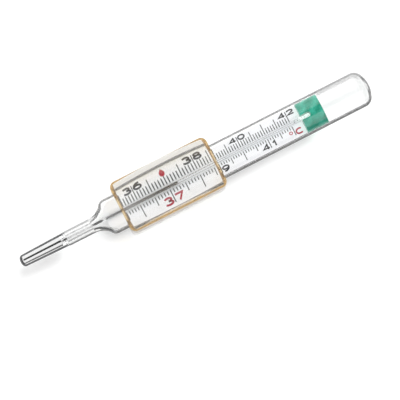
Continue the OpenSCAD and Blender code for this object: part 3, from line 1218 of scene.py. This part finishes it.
@dataclass(frozen=True)
class Stroke:
    """One pen stroke of a numeral in a box of width 1 and height 1."""

    points: tuple[tuple[float, float], ...]
    closed: bool = False
    weight: float = 1.0

    @classmethod
    def arc(cls, x: float, y: float, rx: float, ry: float, start: float, end: float) -> "Stroke":
        """Draws an arc of an oval.

        Args:
            x, y: Place of its middle.
            rx, ry: Half of its width and of its height.
            start, end: Angles at which it starts and ends, in degrees.

        Returns:
            The stroke, which is closed where it goes all round.
        """
        whole = abs(end - start) >= 360
        turns = [math.radians(a) for a in steps(start, end, PEN_ARC_STEPS)]
        points = tuple((x + rx * math.cos(t), y + ry * math.sin(t)) for t in turns)
        return cls(points[:-1] if whole else points, whole)

    def then(self, other: "Stroke") -> "Stroke":
        """Runs on into another stroke."""
        return Stroke(self.points + other.points)

    def thin(self, weight: float) -> "Stroke":
        """Gives the same stroke with a thinner pen."""
        return Stroke(self.points, self.closed, weight)


NUMERALS: dict[str, list[Stroke]] = {
    "0": [Stroke.arc(0.5, 0.5, 0.5, 0.5, 0, 360)],
    "1": [Stroke(((0.22, 0.74), (0.58, 1.0), (0.58, 0.0)))],
    "2": [Stroke.arc(0.48, 0.70, 0.46, 0.30, 165, -35).then(Stroke(((0.0, 0.0), (1.0, 0.0))))],
    "3": [Stroke.arc(0.44, 0.76, 0.46, 0.24, 155, -90), Stroke.arc(0.44, 0.26, 0.54, 0.26, 90, -155)],
    "4": [Stroke(((0.76, 0.0), (0.76, 1.0), (0.0, 0.28), (1.0, 0.28)))],
    "6": [Stroke.arc(0.5, 0.31, 0.5, 0.31, 0, 360), Stroke.arc(0.72, 0.32, 0.72, 0.68, 180, 78)],
    "7": [Stroke(((0.0, 1.0), (1.0, 1.0), (0.36, 0.0)))],
    "8": [Stroke.arc(0.5, 0.76, 0.42, 0.24, 0, 360), Stroke.arc(0.5, 0.26, 0.5, 0.26, 0, 360)],
    "9": [Stroke.arc(0.5, 0.69, 0.5, 0.31, 0, 360), Stroke.arc(0.28, 0.68, 0.72, 0.68, 0, -102)],
    "C": [Stroke.arc(0.55, 0.5, 0.55, 0.5, 48, 312)],
    "o": [Stroke.arc(0.66, 0.76, 0.24, 0.27, 0, 360).thin(0.55)],
}


def graduation_tree() -> bpy.types.NodeTree:
    """Builds the Geometry Nodes tree that sets out one row of marks.

    Returns:
        A tree whose named inputs are the sizes of the row. Every tenth degree has a mark, and
        the marks of half and whole degrees reach further from the axis.
    """
    tree = bpy.data.node_groups.new("graduation_row", "GeometryNodeTree")
    graph = NodeGraph(tree)
    lengths = (
        "Start X", "Pitch", "Mark Width", "Ink Height", "Ink Middle", "Side", "Row Start",
        "Tenth Reach", "Half Reach", "Whole Reach",
    )
    kinds = {"Int": ("Count", "First Tenth"), "Float": lengths, "Material": ("Ink",)}
    tree.interface.new_socket("Marks", in_out="OUTPUT", socket_type="NodeSocketGeometry")
    for kind, names in kinds.items():
        for name in names:
            tree.interface.new_socket(name, in_out="INPUT", socket_type=f"NodeSocket{kind}")
    given = graph.add("NodeGroupInput").outputs
    index = graph.add("GeometryNodeInputIndex").outputs[0]

    tenth = graph.math("ADD", given["First Tenth"], index)
    reach = given["Tenth Reach"]
    for step, shorter, longer in (
        (HALF_DEGREE, "Tenth Reach", "Half Reach"),
        (WHOLE_DEGREE, "Half Reach", "Whole Reach"),
    ):
        is_longer = graph.math("COMPARE", graph.math("MODULO", tenth, step), 0.0, 0.5)
        extra = graph.math("SUBTRACT", given[longer], given[shorter])
        reach = graph.math("MULTIPLY_ADD", is_longer, extra, reach)
    middle = graph.math("MULTIPLY", graph.math("ADD", reach, given["Row Start"]), 0.5)
    place_feeds = {
        "X": graph.math("MULTIPLY_ADD", index, given["Pitch"], given["Start X"]),
        "Y": graph.math("MULTIPLY", middle, given["Side"]),
        "Z": given["Ink Middle"],
    }
    size_feeds = {
        "X": given["Mark Width"],
        "Y": graph.math("SUBTRACT", reach, given["Row Start"]),
        "Z": given["Ink Height"],
    }
    place = graph.add("ShaderNodeCombineXYZ", place_feeds).outputs[0]
    size = graph.add("ShaderNodeCombineXYZ", size_feeds).outputs[0]

    row = graph.add("GeometryNodeMeshLine", {"Count": given["Count"]}).outputs[0]
    points = graph.add("GeometryNodeSetPosition", {"Geometry": row, "Position": place}).outputs[0]
    block = graph.add("GeometryNodeMeshCube").outputs["Mesh"]
    stamp_feeds = {"Points": points, "Instance": block, "Scale": size}
    stamped = graph.add("GeometryNodeInstanceOnPoints", stamp_feeds).outputs[0]
    real = graph.add("GeometryNodeRealizeInstances", {0: stamped}).outputs[0]
    inked = graph.add("GeometryNodeSetMaterial", {"Geometry": real, "Material": given["Ink"]})
    graph.add("NodeGroupOutput", {0: inked.outputs[0]})
    return tree


@dataclass
class Scale(Assembly):
    """White plate with two rows of marks, plain numbers and a red drop at the normal reading.

    The rows of marks start at the first of their distances from the axis, and the marks of tenths,
    halves and wholes end at the others.
    """

    line: StemLine
    first_tenth: int = 355
    last_tenth: int = 420
    normal: int = 37
    degree_len: float = 9.0 * MM
    first_station: float = 40.7 * MM
    mark_width: float = 0.28 * MM
    mark_depth: float = 0.05 * MM
    ink_rise: float = 0.006 * MM
    upper_rows: tuple[float, ...] = (0.65 * MM, 2.75 * MM, 4.1 * MM, 4.6 * MM)
    lower_rows: tuple[float, ...] = (0.75 * MM, 1.65 * MM, 2.8 * MM, 3.9 * MM)
    digit_width: float = 2.6 * MM
    digit_gap: float = 0.6 * MM
    pen: float = 0.5 * MM
    corner_limit: float = 0.45
    upper_digits: Range = (2.88 * MM, 4.82 * MM)
    lower_digits: Range = (-4.12 * MM, -1.95 * MM)
    print_rise: float = 0.02 * MM
    drop_r: float = 0.78 * MM
    drop_at: float = 3.72 * MM
    drop_tip: float = 1.2 * MM
    drop_steps: int = 36

    def __post_init__(self) -> None:
        """Works out the heights of the ink and the print from the frame."""
        self.top_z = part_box("scale_plate")[1].z
        self.print_z = (self.top_z + self.ink_rise, self.top_z + self.print_rise)

    def place(self, degrees: float) -> float:
        """Gives the place of a reading along X."""
        station = self.first_station + (degrees - self.first_tenth / WHOLE_DEGREE) * self.degree_len
        return self.line.at(station).x

    def build(self) -> list[Piece]:
        """Dresses the plate and prints it.

        Returns:
            The plate, the two rows of marks, the numbers and the drop.
        """
        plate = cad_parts["scale_plate"]
        plate.data.materials.clear()
        plate.data.materials.append(OPAL_PLATE.material())
        tree = graduation_tree()
        printed = [
            self.marks(tree, Row.UPPER, self.upper_rows),
            self.marks(tree, Row.LOWER, self.lower_rows),
            self.labels(),
            self.normal_label(),
            self.normal_drop(),
        ]
        for piece in printed:
            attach(piece, Body.STEM.value)
        return [plate, *printed]

    def marks(self, tree: bpy.types.NodeTree, row: Row, reaches: tuple[float, ...]) -> Piece:
        """Lets the graduation tree fill one row of etched marks with ink.

        Args:
            tree: The graduation tree.
            row: Side of the axis that the row stands on.
            reaches: Distances from the axis at which the row starts and its three kinds of mark end.

        Returns:
            The row of ink as one piece.
        """
        name = f"{row.name.lower()}_marks"
        piece = mesh_object(name, bpy.data.meshes.new(name), BLACK_INK)
        height = self.mark_depth + self.ink_rise
        values = {
            "Count": self.last_tenth - self.first_tenth + 1,
            "First Tenth": self.first_tenth,
            "Start X": self.line.at(self.first_station).x,
            "Pitch": self.degree_len / WHOLE_DEGREE,
            "Mark Width": self.mark_width,
            "Ink Height": height,
            "Ink Middle": self.top_z + self.ink_rise - height / 2,
            "Side": float(row.value),
            "Row Start": reaches[0],
            "Tenth Reach": reaches[1],
            "Half Reach": reaches[2],
            "Whole Reach": reaches[3],
            "Ink": BLACK_INK.material(),
        }
        modifier = piece.modifiers.new("graduation", "NODES")
        modifier.node_group = tree
        for socket in tree.interface.items_tree:
            if socket.in_out == "INPUT":
                modifier[socket.identifier] = values[socket.name]
        return settle(piece)

    def write(self, draft: Draft, glyph: str, x: float, span: Range) -> None:
        """Draws one numeral as raised print.

        Args:
            draft: Draft that takes the faces.
            glyph: The numeral or sign.
            x: Place of its left side along X.
            span: Places of its foot and its head across the stem.
        """
        foot, top = span
        inner_w, inner_h = self.digit_width - self.pen, top - foot - self.pen
        for stroke in NUMERALS[glyph]:
            path = [
                Vector((x + self.pen / 2 + px * inner_w, foot + self.pen / 2 + py * inner_h))
                for px, py in stroke.points
            ]
            draft.loft(self.ribbon(path, stroke.closed, self.pen * stroke.weight), stroke.closed)

    def ribbon(self, path: list[Vector], closed: bool, pen: float) -> list[Ring]:
        """Gives the cross-sections of a flat stroke.

        Args:
            path: Points of the stroke on the plate.
            closed: Whether its end joins its start.
            pen: Width of the stroke.

        Returns:
            A ring of four points at each point of the path.
        """
        rings = []
        last = len(path) - 1
        low, high = self.print_z
        for i, point in enumerate(path):
            before = path[i - 1] if i or closed else point
            after = path[(i + 1) % len(path)] if i < last or closed else point
            come = (point - before).normalized() if point != before else (after - point).normalized()
            go = (after - point).normalized() if after != point else come
            side = Vector((-(come + go).y, (come + go).x)).normalized()
            half = pen / 2 / max(self.corner_limit, side.dot(Vector((-go.y, go.x))))
            left, right = point + side * half, point - side * half
            corners = ((left, low), (right, low), (right, high), (left, high))
            rings.append([Vector((*place, z)) for place, z in corners])
        return rings

    def label(self, draft: Draft, text: str, degrees: float, span: Range) -> None:
        """Writes the two signs of a label on either side of their mark.

        Args:
            draft: Draft that takes the faces.
            text: The two signs.
            degrees: Reading of the mark.
            span: Places of their feet and heads across the stem.
        """
        x = self.place(degrees)
        lefts = (x - self.digit_gap / 2 - self.digit_width, x + self.digit_gap / 2)
        for glyph, left in zip(text, lefts):
            self.write(draft, glyph, left, span)

    def labels(self) -> Piece:
        """Prints the black numbers, even ones in the upper row and odd ones in the lower.

        Returns:
            The piece.
        """
        draft = Draft("black_numbers", BLACK_INK)
        for degrees in range(self.first_tenth // WHOLE_DEGREE + 1, self.last_tenth // WHOLE_DEGREE + 1):
            if degrees != self.normal:
                span = self.lower_digits if degrees % 2 else self.upper_digits
                self.label(draft, str(degrees), degrees, span)
        return draft.done()

    def normal_label(self) -> Piece:
        """Prints the red number of the normal reading and the red sign of the unit.

        Returns:
            The piece.
        """
        draft = Draft("red_numbers", RED_INK)
        self.label(draft, str(self.normal), self.normal, self.lower_digits)
        self.label(draft, "oC", self.last_tenth / WHOLE_DEGREE, self.lower_digits)
        return draft.done()

    def normal_drop(self) -> Piece:
        """Prints the red drop over the normal reading.

        Returns:
            The piece.
        """
        x = self.place(self.normal)
        reach = math.acos(self.drop_r / self.drop_tip)
        turns = steps(QUARTER + reach, QUARTER + math.tau - reach, self.drop_steps)
        y, radius = self.drop_at, self.drop_r
        edge = [(x + radius * math.cos(t), y + radius * math.sin(t)) for t in turns]
        edge.append((x, y + self.drop_tip))
        rings = [[Vector((*point, z)) for point in edge] for z in self.print_z]
        return Draft("red_drop", RED_INK).loft(rings).done()


@dataclass
class Stopper(Assembly):
    """Green plug whose mouth grips the plate and whose notch seats the capillary."""

    edge: float = 0.12 * MM

    def build(self) -> list[Piece]:
        """Builds the plug with rounded edges."""
        piece = softened("stopper", "stopper_plug", GREEN_PLASTIC, self.edge)
        return [stand_for(piece, "stopper", Body.STEM)]


@dataclass
class Magnifier(Assembly):
    """Slide-on magnifier: amber frame, crowned lens, pale base and two grip pads."""

    long_r: float = 30.0 * MM
    cross_r: float = 22.0 * MM
    corner_r: float = 1.45 * MM
    corner_steps: int = 12
    side_steps: int = 40
    end_steps: int = 20
    ring_steps: int = 56
    frame_edge: float = 0.10 * MM
    base_edge: float = 0.15 * MM
    pad_edge: float = 0.20 * MM

    def build(self) -> list[Piece]:
        """Builds the four pieces.

        Returns:
            The frame, the lens, the base and the pads.
        """
        hoop = softened("magnifier_frame", "amber_frame", AMBER_PLASTIC, self.frame_edge)
        tray = softened("magnifier_base", "base_tray", BASE_PLASTIC, self.base_edge)
        pads = softened("grip_pads", "grip_pad_pair", PAD_RUBBER, self.pad_edge)
        return [
            stand_for(hoop, "magnifier_frame", Body.MAGNIFIER),
            stand_for(self.lens(), "magnifier_lens", Body.MAGNIFIER),
            stand_for(tray, "magnifier_base", Body.MAGNIFIER),
            stand_for(pads, "grip_pads", Body.MAGNIFIER),
        ]

    def outline(self, half_len: float, half_width: float) -> list[tuple[float, float]]:
        """Gives the points of a rectangle with rounded corners, about its middle.

        Args:
            half_len: Half of its length along X.
            half_width: Half of its width along Y.

        Returns:
            The points in order round the middle, from the +Y end of the +X side.
        """
        radius = self.corner_r
        straight_x, straight_y = half_len - radius, half_width - radius
        arcs = []
        for quarter, (sx, sy) in enumerate(((1, 1), (-1, 1), (-1, -1), (1, -1))):
            turns = steps(quarter * QUARTER, (quarter + 1) * QUARTER, self.corner_steps)
            x, y = sx * straight_x, sy * straight_y
            arcs.append([(x + radius * math.cos(a), y + radius * math.sin(a)) for a in turns])
        points = []
        for quarter, arc in enumerate(arcs):
            (x, y), (next_x, next_y) = arc[-1], arcs[(quarter + 1) % len(arcs)][0]
            count = self.end_steps if quarter % 2 else self.side_steps
            along = steps(0.0, 1.0, count)[1:-1]
            points += arc + [(x + (next_x - x) * t, y + (next_y - y) * t) for t in along]
        return points

    def sag(self, x: float, y: float) -> float:
        """Gives how far the crown of the lens lies below its top.

        Args:
            x: Distance from the middle of the lens along the stem.
            y: Distance from it across the stem.

        Returns:
            The depth there.
        """
        across = self.cross_r - math.sqrt(self.cross_r**2 - y * y)
        along = self.long_r - across
        return self.long_r - math.sqrt(along**2 - x * x)

    def lens(self) -> Piece:
        """Builds the lens, which curves more across the stem than along it.

        Returns:
            The piece.
        """
        low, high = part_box("magnifier_lens")
        middle = (low + high) / 2
        edge = self.outline((high.x - low.x) / 2, (high.y - low.y) / 2)
        rings = [
            [Vector((middle.x, middle.y, low.z))],
            [Vector((middle.x + x, middle.y + y, low.z)) for x, y in edge],
        ]
        for t in steps(1.0, 0.0, self.ring_steps)[:-1]:
            ring = [(x * t, y * t, high.z - self.sag(x * t, y * t)) for x, y in edge]
            rings.append([Vector((middle.x + x, middle.y + y, z)) for x, y, z in ring])
        rings.append([Vector((middle.x, middle.y, high.z))])
        return Draft("magnifier_glass", LENS_ACRYLIC).loft(rings).done()


@dataclass
class Studio:
    """White floor, soft light and the camera over the stem.

    Strips of light run overhead along the stem: each row of overhead is an angle across it, in
    degrees from straight up, and the brightness there. They fade to fade_colour towards both ends.
    """

    bounces: int = 32
    image_px: float = 400.0
    px_per_mm: float = 3.058
    stem_turn: float = 27.25
    elevation: float = 83.5
    middle_px: tuple[float, float] = (195.2, 173.1)
    distance: float = 1.0
    sensor: float = 36.0
    clip: Range = (0.05, 20.0)
    floor_size: float = 3.0
    overhead: tuple[tuple[float, float], ...] = (
        (-86.0, 0.20),
        (-80.0, 0.20),
        (-74.0, 0.12),
        (-61.0, 0.12),
        (-54.0, 1.0),
        (-11.0, 1.0),
        (-8.5, 0.03),
        (20.5, 0.03),
        (27.5, 1.0),
    )
    fade_span: Range = (0.15, 0.55)
    fade: float = 0.7
    fade_colour: Colour = (0.85, 0.85, 0.85)
    key_power: float = 15.0
    key_size: float = 1.0
    key_turn: float = 40.0
    key_height: float = 50.0
    key_distance: float = 1.4

    def build(self) -> None:
        """Sets up the whole studio."""
        bpy.context.scene.view_settings.view_transform = "Standard"
        self.floor()
        self.world()
        self.key_light()
        self.camera()
        self.light_paths()

    def light_paths(self) -> None:
        """Lets light run on through thick clear pieces, which would show black corners otherwise."""
        paths = bpy.context.scene.cycles
        paths.max_bounces = self.bounces
        paths.glossy_bounces = self.bounces
        paths.transmission_bounces = self.bounces

    def floor(self) -> None:
        """Lays a white floor that keeps the shadow of the object."""
        half = self.floor_size / 2
        corners = ((-half, -half), (half, -half), (half, half), (-half, half))
        mesh = bpy.data.meshes.new("floor")
        mesh.from_pydata([(x, y, 0.0) for x, y in corners], [], [range(len(corners))])
        mesh_object("floor", mesh, FLOOR)

    def world(self) -> None:
        """Surrounds the object with pale light, with dark gaps between the strips overhead."""
        world = bpy.data.worlds.new("studio")
        graph = NodeGraph.cleared(world)
        way = graph.parts("Generated")
        lean = graph.math("ARCTAN2", way["Y"], way["Z"])
        stops = [(0.5 + degrees / 360, (level,) * 3) for degrees, level in self.overhead]
        strips = graph.ramp(graph.math("MULTIPLY_ADD", lean, 1 / math.tau, 0.5), stops)
        ends = graph.spread(graph.math("ABSOLUTE", way["X"]), self.fade_span, (0.0, self.fade))
        light = graph.mix(ends, strips, self.fade_colour)
        back = graph.add("ShaderNodeBackground", {"Color": light})
        graph.add("ShaderNodeOutputWorld", {"Surface": back.outputs[0]})
        bpy.context.scene.world = world

    def key_light(self) -> None:
        """Hangs one large soft lamp over the far side of the stem."""
        data = bpy.data.lights.new("key", "AREA")
        data.energy = self.key_power
        data.size = self.key_size
        lamp = bpy.data.objects.new("key", data)
        turn, height = math.radians(self.key_turn), math.radians(self.key_height)
        level = Vector((math.cos(turn), math.sin(turn), 0.0))
        way = level * math.cos(height) + Vector((0.0, 0.0, math.sin(height)))
        lamp.location = way * self.key_distance
        lamp.rotation_mode = "QUATERNION"
        lamp.rotation_quaternion = way.to_track_quat("Z", "Y")
        lamp.visible_glossy = False
        lamp.visible_transmission = False
        bpy.context.scene.collection.objects.link(lamp)

    def camera(self) -> None:
        """Looks down on the stem, which rises to the right in the picture."""
        turn, tilt = math.radians(self.stem_turn), math.radians(self.elevation)
        right = Vector((math.cos(turn), -math.sin(turn), 0.0))
        ahead = Vector((math.sin(turn), math.cos(turn), 0.0))
        back = Vector((0.0, 0.0, 1.0)) * math.sin(tilt) - ahead * math.cos(tilt)
        up = back.cross(right)
        mm_px = MM / self.px_per_mm
        low, high = CAD_BOX
        target = Vector(((low.x + high.x) / 2, 0.0, StemLine.from_frame().axis_z))
        target += right * (self.image_px / 2 - self.middle_px[0]) * mm_px
        target += up * (self.middle_px[1] - self.image_px / 2) * mm_px
        data = bpy.data.cameras.new("camera")
        data.sensor_width = self.sensor
        data.lens = self.sensor * self.distance / (self.image_px * mm_px)
        data.clip_start, data.clip_end = self.clip
        camera = bpy.data.objects.new("camera", data)
        camera.rotation_mode = "QUATERNION"
        camera.rotation_quaternion = back.to_track_quat("Z", "Y")
        camera.location = target + back * self.distance
        bpy.context.scene.collection.objects.link(camera)
        bpy.context.scene.camera = camera


def report(pieces: Iterable[Piece]) -> None:
    """Logs the name and the face count of each piece."""
    for piece in pieces:
        LOG.info("%s: %d faces", piece.name, len(piece.data.polygons))


def main() -> None:
    """Builds the thermometer piece by piece, then the studio round it."""
    logging.basicConfig(level=logging.INFO, format="%(name)s: %(message)s")
    line = StemLine.from_frame()
    on_line = (Sheath(line), Bulb(line), MeasuringTube(line), Scale(line))
    for assembly in (*on_line, Stopper(), Magnifier()):
        report(assembly.build())
    Studio().build()


if __name__ == "__main__":
    main()
